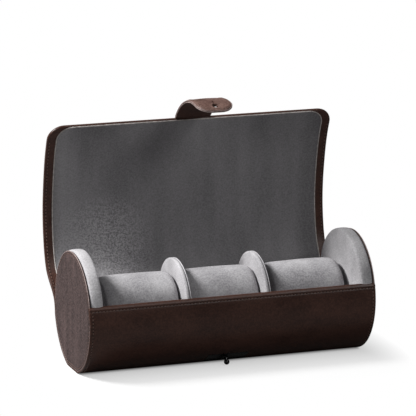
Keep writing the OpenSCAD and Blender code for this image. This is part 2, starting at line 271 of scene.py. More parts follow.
def slab(
    line, s_from, s_to, end, half, t, depth, edge_r, corner_r,
    columns=24, crown=0.0, taper=no_taper,
):
    """Points and faces of a slab from s_from to s_to. It ends in rounded corners if s_to is end."""
    free = abs(s_to - end) < 1e-9
    rows = []
    straight_end = min(s_to, end - corner_r)
    if straight_end > s_from:
        count = max(2, int(round((straight_end - s_from) / ROW_STEP)))
        rows += [(s, None) for s in np.linspace(s_from, straight_end, count + 1)]
    if s_to > end - corner_r + 1e-9:
        first, last = corner_angles(end, corner_r, s_from, s_to)
        arc = np.linspace(first, last, END_CORNER_ROWS if free else PASSED_CORNER_ROWS)
        rows += [(None, a) for a in (arc[1:] if rows else arc)]
    edge = edge_steps(t, edge_r)
    points, faces = [], []

    def place(row, x_share, inset, deep):
        s, a = row
        if a is None:
            wide = half - inset - taper(s)
        else:
            s = end - corner_r + (corner_r - inset) * math.sin(a)
            wide = half - corner_r + (corner_r - inset) * math.cos(a)
        x = x_share * wide
        if crown:
            side = min(1, (half - abs(x)) / half) * min(1, (end - s) / half)
            swell = -crown * math.sqrt(max(0, side)) * (1 if deep < t / 2 else 0)
        else:
            swell = 0
        p, n = line.place(s)
        points.append(at(x, p + (depth + deep + swell) * n))
        return len(points) - 1

    shares = [2 * i / columns - 1 for i in range(columns + 1)]
    outer, inner, left, right = [], [], [], []
    for row in rows:
        outer.append([place(row, u, edge_r, 0) for u in shares])
        inner.append([place(row, u, edge_r, t) for u in shares])
        left.append([outer[-1][0]] + [place(row, -1, i, d) for d, i in edge[1:-1]] + [inner[-1][0]])
        right.append([outer[-1][-1]] + [place(row, 1, i, d) for d, i in edge[1:-1]] + [inner[-1][-1]])
    for j in range(len(rows) - 1):
        for i in range(columns):
            faces.append((outer[j][i], outer[j + 1][i], outer[j + 1][i + 1], outer[j][i + 1]))
            faces.append((inner[j][i], inner[j][i + 1], inner[j + 1][i + 1], inner[j + 1][i]))
        for k in range(len(edge) - 1):
            faces.append((left[j][k], left[j][k + 1], left[j + 1][k + 1], left[j + 1][k]))
            faces.append((right[j][k], right[j + 1][k], right[j + 1][k + 1], right[j][k + 1]))
    ends = [0] if free else [0, len(rows) - 1]
    for j in ends:
        loop = outer[j] + right[j][1:-1] + inner[j][::-1] + left[j][1:-1][::-1]
        faces.append(tuple(loop if j == 0 else loop[::-1]))
    if free:
        nose = [outer[-1]]
        for k in range(1, len(edge) - 1):
            d, i = edge[k]
            middle = [place(rows[-1], u, i, d) for u in shares[1:-1]]
            nose.append([left[-1][k]] + middle + [right[-1][k]])
        nose.append(inner[-1])
        for k in range(len(nose) - 1):
            for i in range(columns):
                faces.append((nose[k][i], nose[k + 1][i], nose[k + 1][i + 1], nose[k][i + 1]))
    return points, faces


def outline(half, end, corner_r, s_from, s_to, step):
    """Points (x, s) up the left side of a slab, round its far corners if it has them, and down."""
    left = []
    s = s_from
    while s < min(s_to, end - corner_r):
        left.append((-half, s))
        s += step
    if s_to <= end - corner_r:
        left.append((-half, s_to))
        return left, [(-x, s) for x, s in left]
    turns = max(3, int(corner_r * math.pi / 2 / step))
    start, stop = corner_angles(end, corner_r, s_from, s_to)
    for a in np.linspace(start, stop, turns):
        x = -(half - corner_r + corner_r * math.cos(a))
        left.append((x, end - corner_r + corner_r * math.sin(a)))
    right = [(-x, s) for x, s in left]
    if s_to < end - 1e-9:
        return left, right
    across = int(2 * (half - corner_r) / step)
    top = [((half - corner_r) * (2 * i / across - 1), end) for i in range(1, across)]
    return left + top + right[::-1], None


def tube(path, r, sides=8):
    """Points and faces of a closed tube along a path of points, each with its own normal."""
    centres = [np.array(p) for p, _ in path]
    points = []
    for i, (_, n) in enumerate(path):
        ahead = centres[min(i + 1, len(path) - 1)] - centres[max(i - 1, 0)]
        ahead = ahead / np.linalg.norm(ahead)
        side = np.cross(ahead, n)
        side = side / np.linalg.norm(side)
        up = np.cross(side, ahead)
        for k in range(sides):
            a = 2 * math.pi * k / sides
            points.append(centres[i] + r * (math.cos(a) * side + math.sin(a) * up))
    return points, loft(len(path), sides)


def merged(parts):
    """Several lots of points and faces as one."""
    points, faces = [], []
    for part_points, part_faces in parts:
        base = len(points)
        points += list(part_points)
        faces += [tuple(i + base for i in face) for face in part_faces]
    return points, faces


# Short threads that dip into the leather, with a near black mark between one and the next: painted
# shade for the needle's hole
STITCH_LEN = 1.9 * MM
STITCH_R = 0.3 * MM
STITCH_PITCH = 2.7 * MM
NEEDLE_R = 0.42 * MM
NEEDLE_RISE = 0.08 * MM


def stitch(centre, along, up):
    """One stitch: a short thread that dips into the leather at both ends."""
    path = []
    for k in range(5):
        share = k / 4 - 0.5
        sink = STITCH_R * (2.2 * abs(share) ** 2 * 4 - 0.6)
        path.append((centre + share * STITCH_LEN * along - sink * up, up))
    return tube(path, STITCH_R, 6)


def needle_shade_mark(centre, along, up):
    """The needle's hole between two stitches, drawn as a small near black disc that sits on the
    leather: painted shade for the hole.
    """
    side = np.cross(up, along)
    points = [centre + NEEDLE_RISE * up]
    for k in range(6):
        a = 2 * math.pi * k / 6
        points.append(centre + NEEDLE_R * (math.cos(a) * along + math.sin(a) * side))
    return points, [(0, 1 + k, 1 + (k + 1) % 6) for k in range(6)]


def sewing(name, paths):
    """A seam along dense paths of (point, outward normal): stitches, and marks of painted shade for the
    needle holes between them.
    """
    threads, hole_shades = [], []
    for path in paths:
        points = np.array([p for p, _ in path])
        run = np.concatenate([[0], np.cumsum(np.linalg.norm(np.diff(points, axis=0), axis=1))])
        count = int(run[-1] / STITCH_PITCH)
        for k in range(2 * count):
            s = (k + 0.5) * run[-1] / (2 * count)
            i = int(np.clip(np.searchsorted(run, s), 1, len(run) - 1))
            share = (s - run[i - 1]) / max(1e-9, run[i] - run[i - 1])
            centre = points[i - 1] * (1 - share) + points[i] * share
            along = (points[i] - points[i - 1]) / np.linalg.norm(points[i] - points[i - 1])
            up = np.array(path[i][1], dtype=float)
            if k % 2:
                hole_shades.append(needle_shade_mark(centre, along, up))
            else:
                threads.append(stitch(centre, along, up))
    points, faces = merged(threads + hole_shades)
    piece = new_mesh(name, points, faces, thread)
    piece.data.materials.append(needle_hole_shade)
    first_hole_shade = sum(len(part[1]) for part in threads)
    for polygon in piece.data.polygons[first_hole_shade:]:
        polygon.material_index = 1
    return piece


# ---- Materials ----


def new_material(name):
    """A material with one shader, and the place on the piece that its patterns follow."""
    material = bpy.data.materials.new(name)
    material.use_nodes = True
    tree = material.node_tree
    tree.nodes.clear()
    out = tree.nodes.new("ShaderNodeOutputMaterial")
    shader = tree.nodes.new("ShaderNodeBsdfPrincipled")
    tree.links.new(shader.outputs["BSDF"], out.inputs["Surface"])
    place = tree.nodes.new("ShaderNodeTexCoord")
    return material, tree, shader, place.outputs["Object"]


def ramp(tree, source, low, high, from_at=0.35, to_at=0.65):
    """A colour between two, by a factor between two places."""
    node = add(tree, "ShaderNodeValToRGB", Fac=source)
    node.color_ramp.elements[0].position = from_at
    node.color_ramp.elements[0].color = colour(low)
    node.color_ramp.elements[1].position = to_at
    node.color_ramp.elements[1].color = colour(high)
    return node.outputs["Color"]


def blend_of(tree, coarse, fine, share):
    """A factor made of a coarse pattern and of a share of a fine one."""
    part = add(tree, "ShaderNodeMath", {"operation": "MULTIPLY", 1: share}, Value=fine)
    both = add(tree, "ShaderNodeMath", {"operation": "MULTIPLY_ADD", 1: 1 - share}, Value=coarse)
    tree.links.new(part.outputs["Value"], both.inputs[2])
    return both.outputs["Value"]


# Where a mixed pattern goes over from its dark colour to its light one
TINT_SPAN = (0.36, 0.64)


def give(shader, values):
    """Sets a shader's own sockets to fixed values."""
    for socket, value in values.items():
        shader.inputs[socket].default_value = value


def full_grain_leather(name, dark, light, roughness, grain_mm, depth, run, fleck):
    """Drum-dyed calf, plated and waxed: soft broken highlights, a pebble grain near 1 mm, and dye
    that lies a little lighter where the skin stretches, along the way the hide runs."""
    material, tree, shader, place = new_material(name)
    along = add(tree, "ShaderNodeMapping", {"Scale": run}, Vector=place).outputs["Vector"]
    cloud = add(tree, "ShaderNodeTexNoise", {"Scale": 60, "Detail": 5, "Roughness": 0.6}, Vector=along)
    pores = add(tree, "ShaderNodeTexNoise", {"Scale": 1 / (1.3 * MM), "Detail": 3}, Vector=place)
    mixed = blend_of(tree, cloud.outputs["Fac"], pores.outputs["Fac"], fleck)
    tint = ramp(tree, mixed, dark, light, *TINT_SPAN)
    tree.links.new(tint, shader.inputs["Base Color"])
    grain = {"Scale": 1 / (grain_mm * MM), "feature": "SMOOTH_F1"}
    pebble = add(tree, "ShaderNodeTexVoronoi", grain, Vector=place)
    crease = add(tree, "ShaderNodeTexNoise", {"Scale": 700, "Detail": 4}, Vector=place)
    span = {"From Min": 0.3, "From Max": 0.7, "To Min": roughness - 0.07, "To Max": roughness + 0.09}
    rough = add(tree, "ShaderNodeMapRange", span, Value=cloud.outputs["Fac"])
    tree.links.new(rough.outputs["Result"], shader.inputs["Roughness"])
    half = {"operation": "MULTIPLY_ADD", 1: 0.5}
    high = add(tree, "ShaderNodeMath", half, Value=crease.outputs["Fac"])
    tree.links.new(pebble.outputs["Distance"], high.inputs[2])
    relief = {"Strength": depth, "Distance": 0.12 * MM}
    bump = add(tree, "ShaderNodeBump", relief, Height=high.outputs["Value"])
    tree.links.new(bump.outputs["Normal"], shader.inputs["Normal"])
    give(shader, {"IOR": 1.5, "Specular IOR Level": 0.35})
    return material


# The colour of a patch of painted light on a suede lining
PAINTED_LIGHT_NAP = "#bebcbe"


def microfibre_suede(name, dark, light, patch=40, brushed=(1, 1, 1), nap=0.55, painted_light_at=None):
    """Brushed suede: no shine, a pale bloom where the nap is seen edge on, and soft patches where
    hands have brushed it the other way."""
    material, tree, shader, place = new_material(name)
    along = add(tree, "ShaderNodeMapping", {"Scale": brushed}, Vector=place).outputs["Vector"]
    patches = add(tree, "ShaderNodeTexNoise", {"Scale": patch, "Detail": 3}, Vector=along)
    # A nap fibre is about 0.05 mm, too fine to show, so it is drawn as tufts of 1.2 mm and under
    tuft = {"Scale": 1 / (1.2 * MM), "Detail": 4, "Roughness": 0.65}
    tufts = add(tree, "ShaderNodeTexNoise", tuft, Vector=place)
    mixed = blend_of(tree, patches.outputs["Fac"], tufts.outputs["Fac"], nap)
    tint = ramp(tree, mixed, dark, light, *TINT_SPAN)
    if painted_light_at:
        # Round one place the colour is painted paler, with its tufts showing: painted light, for the
        # grazing light that falls on the lining there
        away = add(tree, "ShaderNodeVectorMath", {"operation": "DISTANCE", 1: painted_light_at}, Vector=place)
        reach = {"From Min": 45 * MM, "From Max": 5 * MM}
        near = add(tree, "ShaderNodeMapRange", reach, Value=away.outputs["Value"])
        tips = {"From Min": 0.4, "From Max": 0.62}
        fleck = add(tree, "ShaderNodeMapRange", tips, Value=tufts.outputs["Fac"])
        lit_share = add(tree, "ShaderNodeMath", {"operation": "MULTIPLY"}, Value=near.outputs["Result"])
        tree.links.new(fleck.outputs["Result"], lit_share.inputs[1])
        painted_light = add(tree, "ShaderNodeMix", {"data_type": "RGBA"})
        tree.links.new(lit_share.outputs["Value"], painted_light.inputs[0])
        tree.links.new(tint, painted_light.inputs[6])
        painted_light.inputs[7].default_value = colour(PAINTED_LIGHT_NAP)
        tint = painted_light.outputs[2]
    tree.links.new(tint, shader.inputs["Base Color"])
    relief = {"Strength": 0.3, "Distance": 0.15 * MM}
    bump = add(tree, "ShaderNodeBump", relief, Height=tufts.outputs["Fac"])
    tree.links.new(bump.outputs["Normal"], shader.inputs["Normal"])
    give(shader, {"Roughness": 0.95, "IOR": 1.45, "Specular IOR Level": 0.15})
    give(shader, {"Sheen Weight": 0.12, "Sheen Roughness": 0.45, "Sheen Tint": colour(light)})
    return material


def plain(name, dark, light, scale, roughness, bump=0.1):
    """A material with one colour broken by a noise, for thread, cut edges, board and metal."""
    material, tree, shader, place = new_material(name)
    cloud = add(tree, "ShaderNodeTexNoise", {"Scale": scale, "Detail": 5}, Vector=place)
    tree.links.new(ramp(tree, cloud.outputs["Fac"], dark, light), shader.inputs["Base Color"])
    span = {"To Min": roughness - 0.05, "To Max": roughness + 0.05}
    rough = add(tree, "ShaderNodeMapRange", span, Value=cloud.outputs["Fac"])
    tree.links.new(rough.outputs["Result"], shader.inputs["Roughness"])
    relief = {"Strength": bump, "Distance": 0.1 * MM}
    dent = add(tree, "ShaderNodeBump", relief, Height=cloud.outputs["Fac"])
    tree.links.new(dent.outputs["Normal"], shader.inputs["Normal"])
    return material


brown_leather = full_grain_leather(
    "calf_leather_dark_brown", "#341e17", "#53362c", 0.4, 0.9, 0.6, (0.45, 1, 1), 0.5
)
end_leather = full_grain_leather(
    "calf_leather_end", "#231918", "#604f4d", 0.6, 1.2, 0.9, (1, 1, 0.2), 0.5
)
# The tab's top layer: the same calf as the roll, painted lighter; the lighter colour is painted light
# for its top face, which the lamps fall on
tab_leather = full_grain_leather(
    "calf_leather_tab_painted_light", "#4a332d", "#83685f", 0.5, 1.2, 0.9, (1, 1, 1), 0.6
)
# The lid's lining is brushed up and down, with a pale patch of painted light low on the left, where
# grazing light falls
lid_suede = microfibre_suede(
    "suede_charcoal", "#6c6a6c", "#9a989a", 26, (1, 1, 0.12), 0.45, (-70 * MM, 68 * MM, 78 * MM)
)
pillow_suede = microfibre_suede("suede_mid_grey", "#828083", "#c0bec0")
pale_suede = microfibre_suede("suede_pale_grey", "#959395", "#c9c7c9")
# Bonded thread in waxed polyester, laid in flat against the leather
thread = plain("waxed_thread", "#5a423a", "#7c6156", 900, 0.6)
# Near black marks between the stitches: painted shade for the needle holes
needle_hole_shade = plain("needle_hole_shade", "#080505", "#120b09", 900, 0.9)
# Suede folded over a core, paler where the fold opens the nap
pale_edge = plain("folded_suede_edge", "#a19b97", "#c9c3bf", 400, 0.85)
# Leather cut through and burnished: the undyed fibres inside are paler than the face
raw_edge = plain("cut_leather_edge", "#7d6a66", "#a89691", 500, 0.65)
# Brass under black lacquer: nearly black, with the lacquer's small sharp highlights
black_metal = plain("black_lacquered_brass", "#0c0c0d", "#161617", 60, 0.14, 0.02)
# Pressed pulp board: matt and mealy
board = plain("grey_board", "#a58f72", "#c4ae90", 300, 0.9)


# ---- Body ----


def wall_point(a, inset):
    """A point of the body's wall at an angle about the axis, set in, and flat underneath."""
    r = CASE_R - inset
    p = AXIS + r * np.array([math.cos(a), math.sin(a)])
    p[1] = max(p[1], inset)
    return p


# The seam along the body's edges: how far in it lies, how deep it draws the leather, and the bead
# that the turned edge makes outside it
SEWN_BODY = 2.4 * MM
GROOVE = 0.18 * MM
BEAD = 0.3 * MM
# How far the front edge is turned in, and the rounding of the leather's ends
HEM = 9 * MM
END_ROUND_R = 0.45 * MM
# Steps round the body: fine ones over the bead and the seam, then even ones to the back
FINE_RUN = 4.5 * MM
FINE_ROWS, ROUND_ROWS, LONG_ROWS = 16, 118, 70


def front_bead(a):
    """How far the body's leather is set in near its front edge: a bead, and the seam's groove."""
    run = (a - FRONT_EDGE_A) * CASE_R
    bead = BEAD * math.sin(math.pi * min(1, run / (SEWN_BODY - 0.4 * MM)))
    return GROOVE * math.exp(-(((run - SEWN_BODY) / (0.45 * MM)) ** 2)) - bead


def body_leather():
    """The body's leather: one wall round the roll, with its front edge turned in over the lining."""
    fine_to = FRONT_EDGE_A + FINE_RUN / CASE_R
    stations = list(np.linspace(FRONT_EDGE_A, fine_to, FINE_ROWS))
    stations += list(np.linspace(fine_to, 2 * math.pi + root_a, ROUND_ROWS))[1:]
    outer = [wall_point(a, front_bead(a)) for a in stations]
    inner = []
    for a in stations:
        # The hem covers the whole wall and a little more, and thins out over its last sixth
        near = np.clip(1 - (a - FRONT_EDGE_A) * CASE_R / HEM, 0, 1)
        t = LEATHER_T + (CASE_R - INNER_R - LEATHER_T + 0.2 * MM) * min(1, near * 6)
        inner.append(wall_point(a, t))
    # The turned edge is half round, as thick as the wall
    middle = (outer[0] + inner[0]) / 2
    radius = np.linalg.norm(outer[0] - inner[0]) / 2
    out_a = math.atan2(*(outer[0] - middle)[::-1])
    nose = []
    for k in range(1, 8):
        a = out_a - k * math.pi / 8
        nose.append(middle + radius * np.array([math.cos(a), math.sin(a)]))
    section = outer + inner[::-1] + nose[::-1]
    centre_line = [(o + i) / 2 for o, i in zip(outer, inner)]
    centre = centre_line + centre_line[::-1] + [middle] * len(nose)
    rows = []
    for k in range(EDGE_STEPS + 1):
        a = math.pi / 2 * k / EDGE_STEPS
        x = -CASE_HALF + END_ROUND_R * (1 - math.sin(a))
        rows.append((x, END_ROUND_R * (1 - math.cos(a))))
    rows = rows[::-1]
    inner_x = np.linspace(-CASE_HALF + 3 * MM, CASE_HALF - 3 * MM, LONG_ROWS)
    rows = rows + [(x, 0) for x in inner_x] + [(-x, inset) for x, inset in rows[::-1]]
    points, faces = [], []
    count = len(section)
    for x, inset in rows:
        for p, c in zip(section, centre):
            way = c - p
            length = np.linalg.norm(way)
            points.append(at(x, p + way / length * min(inset, length * 0.9)))
    for j in range(len(rows) - 1):
        for i in range(count):
            a, b = j * count + i, j * count + (i + 1) % count
            faces.append((a, a + count, b + count, b))
    for j in (0, len(rows) - 1):
        for i in range(len(stations) - 1):
            back = count - len(nose) - 1 - i
            quad = [j * count + q for q in (i, i + 1, back - 1, back)]
            faces.append(tuple(quad if j == 0 else quad[::-1]))
        tip = [j * count] + [j * count + count - 1 - k for k in range(len(nose))]
        tip.append(j * count + count - len(nose) - 1)
        faces.append(tuple(tip if j else tip[::-1]))
    piece = new_mesh("body_skin", points, faces, brown_leather)
    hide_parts("body_leather")
    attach(piece, "case")


def body_stitches():
    """Stitches along the front edge and round both ends of the body."""
    lift = 0.03 * MM
    front_a = FRONT_EDGE_A + SEWN_BODY / CASE_R
    end_x = CASE_HALF - SEWN_BODY
    out = np.array([0, math.cos(front_a), math.sin(front_a)])
    p = wall_point(front_a, GROOVE - lift)
    paths = [[(np.array(at(x, p)), out) for x in np.linspace(-end_x, end_x, 300)]]
    for x in (-end_x, end_x):
        path = []
        for a in np.linspace(front_a, 2 * math.pi + BACK_EDGE_A, 400):
            p = wall_point(a, -lift)
            if p[1] > 1.5 * MM:
                path.append((np.array(at(x, p)), np.array([0, math.cos(a), math.sin(a)])))
        # The row is broken where the roll stands on its flat
        gap = next(i for i in range(1, len(path)) if path[i][0][1] - path[i - 1][0][1] > 5 * MM)
        paths += [path[:gap], path[gap:]]
    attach(sewing("body_stitches", paths), "case")


body_leather()
body_stitches()


# ---- Lid ----


def section_bodies(k):
    """The two bodies that a section of the lid bends between; the last section rides on one."""
    names = ["case"] + [f"lid_panel_{i}" for i in range(1, PANELS + 1)]
    return names[k : k + 2]


# The lining comes almost to the free edge, and a thin turned edge of suede shows round it
TOP_BORDER = 1.5 * MM
WELT_R = 0.5 * MM
# How far in from an edge the leather is sewn
SEWN = 2.2 * MM
cuts = [ROOT] + [(i + 0.5) * PANEL_LEN for i in range(PANELS)] + [LID_END]


def place_section(piece, k):
    """Attaches a piece of the lid's last section to its panel; a piece of any other section stays where
    it is drawn, with its transform baked in.
    """
    names = section_bodies(k)
    if len(names) == 1:
        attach(piece, names[0])
        return
    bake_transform(piece)


def lid_path(points, depth, side):
    """A path of (x, s) points on the lid, at a depth, with the normal of that side."""
    path = []
    for x, s in points:
        p, n = lid_line.place(s)
        x -= math.copysign(lid_taper(s), x)
        path.append((np.array(at(x, p + depth * n)), np.array([0, *(side * n)])))
    return path


LINING_T = 0.8 * MM


def lid_section(k):
    """One section of the lid: its leather, its lining with the welt round it, and its stitches."""
    s_from, s_to = cuts[k], cuts[k + 1]
    inner = s_from if k else 2 * MM
    pieces = []
    points, faces = slab(
        lid_line, s_from, s_to, LID_END, LID_HALF, LID_T, 0, 1.0 * MM, LID_CORNER_R, taper=lid_taper
    )
    skin = new_mesh(f"lid_skin_{k}", points, faces, brown_leather)
    if k:
        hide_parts(f"lid_leather_{k}", f"lid_board_{k}")
    pieces.append(skin)
    lining_end = LID_END - TOP_BORDER
    lining_half = LID_HALF - LID_BORDER
    top = min(s_to, lining_end)
    points, faces = slab(
        lid_line, inner, top, lining_end, lining_half, LINING_T, LID_T - LINING_T / 2, 0.35 * MM,
        LINING_CORNER_R, taper=lid_taper,
    )
    lining = new_mesh(f"lid_suede_{k}", points, faces, lid_suede)
    if k:
        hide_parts(f"lid_lining_{k}")
    pieces.append(lining)
    welt_end = lining_end + WELT_R
    welt_to = s_to if k < PANELS else welt_end
    lines = outline(lining_half + WELT_R, welt_end, LINING_CORNER_R, inner, welt_to, 1.5 * MM)
    welts = [tube(lid_path(line, LID_T + 0.1 * MM, 1), WELT_R) for line in lines if line]
    points, faces = merged(welts)
    pieces.append(new_mesh(f"lid_welt_{k}", points, faces, pale_edge))
    sewn_end = LID_END - SEWN
    sewn_to = s_to if k < PANELS else sewn_end
    paths = []
    # The inner row stops at the corners, where the border narrows; the outer one goes all round
    straight_to = min(s_to, LID_END - LID_CORNER_R)
    for line in outline(LID_HALF - SEWN, LID_END, LID_CORNER_R, inner, straight_to, 1 * MM):
        paths.append(lid_path(line, LID_T + 0.02 * MM, 1))
    for line in outline(LID_HALF - SEWN, sewn_end, LID_CORNER_R - SEWN, inner, sewn_to, 1 * MM):
        if line:
            paths.append(lid_path(line, -0.02 * MM, -1))
    pieces.append(sewing(f"lid_stitches_{k}", paths))
    for piece in pieces:
        place_section(piece, k)


for k in range(PANELS + 1):
    lid_section(k)


# ---- End discs and dividers ----

# Above, the discs follow the closed lid's arc, just clear of it; below, they fill the leather
LID_ARC_CENTRE = AXIS + np.array([-1.22, 2.0]) * MM
DISC_TOP_R = 45.66 * MM
DISC_LOW_R = CASE_R - LEATHER_T


def disc_radius(a):
    """How far an end disc reaches at an angle about the axis, before padding."""
    way = np.array([math.cos(a), math.sin(a)])
    c = LID_ARC_CENTRE - AXIS
    along = float(way @ c)
    top = along + math.sqrt(max(0, along**2 - float(c @ c) + DISC_TOP_R**2))
    low = DISC_LOW_R
    if way[1] < 0:
        low = min(low, (AXIS_Z - LEATHER_T) / -way[1])
    # The two meet near the front and back edges
    share = float(np.clip((math.sin(a) + 0.1) / 0.2, 0, 1))
    return low * (1 - share) + top * share


def turned(name, profile, radius, material, sides=144):
    """A closed form round the axis whose outline follows radius(angle), along a profile of
    (x, inset). An inset is a length, or a share of the radius."""
    points = []
    angles = [2 * math.pi * k / sides for k in range(sides)]
    for x, inset in profile:
        for a in angles:
            r = radius(a)
            r = r * inset[1] if isinstance(inset, tuple) else max(0.2 * MM, r - inset)
            points.append(at(x, AXIS + r * np.array([math.cos(a), math.sin(a)])))
    return new_mesh(name, points, loft(len(profile), sides), material)


def mirror_x(profile, side):
    """A profile drawn for the right end, turned over for the left."""
    return profile if side > 0 else [(-x, inset) for x, inset in profile][::-1]


END_LEATHER_T = 1.7 * MM
# A whole end disc: its suede, its core and its leather
END_T = 11.7 * MM


def above_front_edge(a):
    """From 0 where the body's leather holds a disc to 1 on top, where its padding is free."""
    return smooth(float(np.clip((math.sin(a) - math.sin(FRONT_EDGE_A)) / 0.3, 0, 1)))


def end_disc(label, side):
    """One end of the roll: the padded suede disc, the leather on its outside, its seam and edge."""
    out_x = CASE_HALF
    in_x = out_x - END_T
    band_end = END_T - END_LEATHER_T
    # From the middle of the inner face, over the padded rim, to the leather
    edge = []
    for share in (0.02, 0.3, 0.6, 0.8, 0.9):
        edge.append((in_x - 0.4 * MM * (1 - share**2), ("share", share)))
    edge += [
        (in_x - 0.05 * MM, 2.6 * MM), (in_x + 0.1 * MM, 1.5 * MM), (in_x + 0.45 * MM, 0.6 * MM),
        (in_x + 1.0 * MM, 0.1 * MM), (in_x + 2.0 * MM, -0.2 * MM), (in_x + 4.0 * MM, -0.35 * MM),
        (in_x + 6.5 * MM, -0.35 * MM), (in_x + band_end - 1.4 * MM, -0.1 * MM),
        (in_x + band_end - 0.6 * MM, 0.3 * MM), (in_x + band_end - 0.2 * MM, 1.0 * MM),
        (in_x + band_end - 0.1 * MM, 2.2 * MM), (in_x + band_end - 0.1 * MM, ("share", 0.5)),
        (in_x + band_end - 0.1 * MM, ("share", 0.02)),
    ]

    def rim(a):
        """The pad's outline: held in by the leather below, and swelling out above it."""
        return disc_radius(a) - 0.5 * MM + above_front_edge(a) * 0.9 * MM

    suede = turned(f"{label}_end_pad", mirror_x(edge, side), rim, pale_suede)
    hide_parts(f"{label}_end_suede", f"{label}_end_core")
    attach(suede, "case")
    face_x = out_x - END_LEATHER_T
    skin = [
        (face_x, 2.5 * MM), (face_x, 0.9 * MM), (face_x + 0.25 * MM, 0.5 * MM),
        (face_x + 0.8 * MM, 0.3 * MM), (out_x - 0.5 * MM, 0.35 * MM), (out_x - 0.15 * MM, 0.6 * MM),
        (out_x, 1.1 * MM), (out_x, 1.7 * MM), (out_x - 0.25 * MM, SEWN), (out_x, SEWN + 0.6 * MM),
        (out_x, 6 * MM), (out_x, ("share", 0.7)), (out_x, ("share", 0.35)), (out_x, ("share", 0.02)),
    ]
    leather = turned(f"{label}_end_skin", mirror_x(skin, side), disc_radius, end_leather)
    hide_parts(f"{label}_end_leather")
    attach(leather, "case")

    def ring(x, inset):
        """A path round the disc's outer face."""
        path = []
        for k in range(361):
            a = math.radians(k)
            p = AXIS + (disc_radius(a) - inset) * np.array([math.cos(a), math.sin(a)])
            path.append((np.array(at(side * x, p)), np.array([side, 0, 0])))
        return path

    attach(sewing(f"{label}_end_stitches", [ring(out_x - 0.2 * MM, SEWN)]), "case")
    # The burnished edge of the disc of leather
    points, faces = tube(ring(out_x - 0.45 * MM, 0.45 * MM), 0.36 * MM)
    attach(new_mesh(f"{label}_end_edge", points, faces, raw_edge), "case")


for label, side in (("left", -1), ("right", 1)):
    end_disc(label, side)


DIVIDER_T = 4.5 * MM
DIVIDER_R = 35.5 * MM


def divider_radius(a):
    """A divider's outline: round above the axis, straight sides down to the lining."""
    way = np.array([math.cos(a), math.sin(a)])
    if way[1] >= 0:
        return DIVIDER_R
    side = DIVIDER_R / max(1e-6, abs(way[0]))
    floor = (AXIS_Z - WALL_T) / -way[1]
    return min(side, INNER_R - 0.1 * MM, floor)


def divider(label):
    """One divider, padded on both faces, with the dark seam in the middle of its rim."""
    low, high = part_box(f"{label}_divider_suede")
    middle = (low.x + high.x) / 2
    half = DIVIDER_T / 2
    profile = []
    for share in (0.02, 0.4, 0.7, 0.88):
        profile.append((middle - half - 0.35 * MM * (1 - share**2), ("share", share)))
    profile += [
        (middle - half + 0.02 * MM, 2.0 * MM), (middle - half + 0.12 * MM, 1.0 * MM),
        (middle - half + 0.4 * MM, 0.3 * MM), (middle - half + 0.9 * MM, 0.0),
        (middle - 0.4 * MM, -0.1 * MM), (middle + 0.3 * MM, -0.05 * MM), (middle + 0.55 * MM, 0.2 * MM),
        (middle + 0.65 * MM, 1.3 * MM), (middle + 1.1 * MM, 1.3 * MM), (middle + 1.2 * MM, 0.2 * MM),
        (middle + 1.55 * MM, -0.05 * MM), (middle + half - 0.35 * MM, 0.3 * MM),
        (middle + half - 0.1 * MM, 1.0 * MM), (middle + half, 2.0 * MM),
    ]
    for share in (0.88, 0.7, 0.4, 0.02):
        profile.append((middle + half + 0.35 * MM * (1 - share**2), ("share", share)))
    piece = turned(f"{label}_divider_pad", profile, divider_radius, pale_suede, sides=180)
    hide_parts(f"{label}_divider_suede", f"{label}_divider_board")
    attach(piece, "case")


divider("left")
divider("right")


# ---- Pillows ----

PILLOW_R = 26 * MM
# The filling shifts a little, so the cover rises and dips by a few tenths
SAG = 0.28 * MM
RIPPLE = 0.1 * MM


def pillow(label):
    """One pillow: a tight band round a soft filling, sewn to two crowned ends that draw in."""
    low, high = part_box(f"{label}_pillow_cover")
    middle, half = (low.x + high.x) / 2, (high.x - low.x) / 2
    foot_z = low.z
    sides = 128
    seed = {"left": 0.0, "middle": 7.3, "right": 15.1}[label]

    def ring(x, inset):
        """A ring of the pillow: its upper half round the axis, its lower half let down on its foot."""
        ring_points = []
        for k in range(sides):
            a = 2 * math.pi * (k + 0.5) / sides
            r = PILLOW_R - inset
            centre = foot_z + PILLOW_R if a > math.pi else AXIS_Z
            p = np.array([x, r * math.cos(a), centre + r * math.sin(a)])
            wobble = SAG * noise.noise(Vector((x * 70 + seed, p[1] * 70, p[2] * 70)))
            wobble += RIPPLE * noise.noise(Vector((x * 260 + seed, p[1] * 260, p[2] * 260)))
            away = np.array([0, math.cos(a), math.sin(a)])
            ring_points.append(p + away * wobble * (1 if inset < 12 * MM else 0.3))
        return ring_points

    # In mm: how far in from the end, and how far in from the band. The end is sewn on at about 2
    end_profile = (
        (0, 22), (0, 15.6), (0.1, 10), (0.25, 6), (0.5, 4.2), (1.0, 2.9), (1.7, 1.9), (2.1, 1.75),
        (2.5, 1.45), (3.4, 0.95), (5, 0.55), (8, 0.3), (13, 0.12), (20, 0.03),
    )
    stations = [(-half + run * MM, inset * MM) for run, inset in end_profile]
    across = [(x, 0) for x in np.linspace(-half + 24 * MM, half - 24 * MM, 6)]
    stations = stations + across + [(-x, inset) for x, inset in stations[::-1]]
    points = []
    for x, inset in stations:
        points += ring(middle + x, inset)
    piece = new_mesh(f"{label}_pillow_pad", points, loft(len(stations), sides), pillow_suede)
    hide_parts(f"{label}_pillow_cover", f"{label}_pillow_foam")
    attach(piece, f"{label}_pillow")


for label in ("left", "middle", "right"):
    pillow(label)


# ---- Tab ----

TAB_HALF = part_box("tab_leather")[1].x
TAB_LEATHER_T = 1.1 * MM
TAB_LINING_T = 1.0 * MM
TAB_CORNER_R = 11 * MM
# From the fold to the tip
TAB_LEN = 65.4 * MM
HOLE_R = 2.9 * MM
HOLE_AT = TAB_LEN - 7 * MM
SLIT_LEN = 5 * MM
SLIT_W = 1.2 * MM

tab_line = Arc(tab_axis, TAB_R, TAB_START_A)


